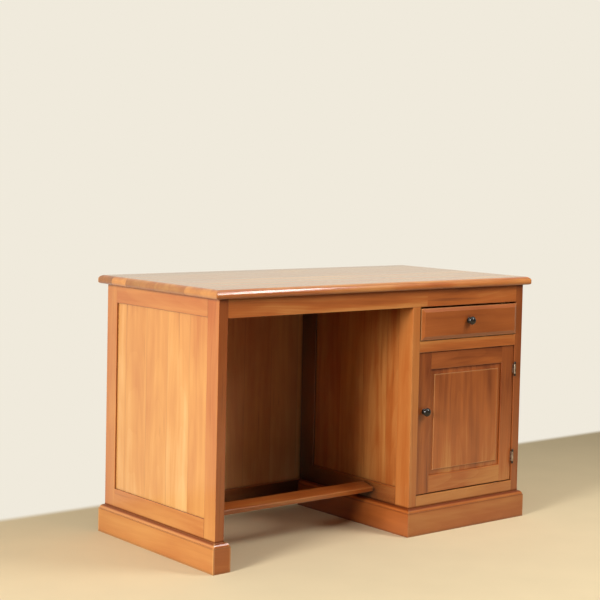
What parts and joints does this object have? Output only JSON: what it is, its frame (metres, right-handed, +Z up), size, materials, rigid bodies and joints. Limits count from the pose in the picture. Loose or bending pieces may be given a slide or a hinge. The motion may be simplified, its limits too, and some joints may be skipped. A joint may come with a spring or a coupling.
{
  "type": "kneehole desk",
  "caption": "Kneehole desk of framed and panelled varnished wood, with a sliding drawer over a hinged cupboard in its pedestal, a sloped footrest and moulded plinths.",
  "frame": {"origin": "on the floor, under the middle of the desk's outer box", "axes": "+X to the right along the front, +Y to the back, +Z up; the drawer and door face -Y"},
  "size_m": [1.226, 0.614, 0.763],
  "materials": {
    "varnished_wood": "gloss varnish",
    "plain_wood": "planed, unvarnished",
    "dark_metal": "gloss",
    "nickel_steel": "nickel plated",
    "catch_plastic": "moulded"
  },
  "bodies": {
    "carcass": {"back_bottom_rail": "varnished_wood", "back_cupboard_panel": "varnished_wood", "back_knee_panel": "varnished_wood", "back_muntin": "varnished_wood", "back_top_rail": "varnished_wood", "base_rail": "varnished_wood", "cupboard_floor": "plain_wood", "desk_top": "varnished_wood", "door_catch": "catch_plastic", "drawer_apron": "varnished_wood", "drawer_divider": "varnished_wood", "drawer_kickers": "plain_wood", "drawer_runners": "plain_wood", "drawer_stops": "plain_wood", "floor_cleats": "plain_wood", "footrest": "varnished_wood", "footrest_dowels": "plain_wood", "hinge_frame_leaves": "nickel_steel", "hinge_frame_screws": "nickel_steel", "hinge_pins": "dark_metal", "inner_bottom_rail": "varnished_wood", "inner_front_stile": "varnished_wood", "inner_panel": "varnished_wood", "inner_rear_stile": "varnished_wood", "inner_top_rail": "varnished_wood", "knee_apron": "varnished_wood", "left_bottom_rail": "varnished_wood", "left_front_stile": "varnished_wood", "left_panel": "varnished_wood", "left_plinth_front": "varnished_wood", "left_plinth_inner": "varnished_wood", "left_plinth_outer": "varnished_wood", "left_rear_stile": "varnished_wood", "left_top_rail": "varnished_wood", "pedestal_plinth_front": "varnished_wood", "pedestal_plinth_inner": "varnished_wood", "rear_plinth_returns": "varnished_wood", "right_bottom_rail": "varnished_wood", "right_front_stile": "varnished_wood", "right_panel": "varnished_wood", "right_plinth_outer": "varnished_wood", "right_rear_stile": "varnished_wood", "right_top_rail": "varnished_wood", "top_dowels": "plain_wood"},
    "drawer": {"drawer_front": "varnished_wood", "drawer_inner_side": "plain_wood", "drawer_outer_side": "plain_wood", "drawer_back": "plain_wood", "drawer_bottom": "plain_wood", "drawer_knob": "dark_metal"},
    "door": {"door_left_stile": "varnished_wood", "door_right_stile": "varnished_wood", "door_top_rail": "varnished_wood", "door_bottom_rail": "varnished_wood", "door_panel": "varnished_wood", "door_knob": "dark_metal", "hinge_door_leaves": "nickel_steel", "hinge_door_screws": "nickel_steel", "catch_strike": "nickel_steel"}
  },
  "joints": [
    {"name": "drawer_slide", "type": "slide", "parent": "carcass", "child": "drawer", "axis": [0, -1, 0], "range_m": [0, 0.36]},
    {"name": "door_hinge", "type": "hinge", "parent": "carcass", "child": "door", "pos_m": [0.56125, -0.27855, 0.3325], "axis": [0, 0, 1], "range_deg": [0, 170]}
  ]
}
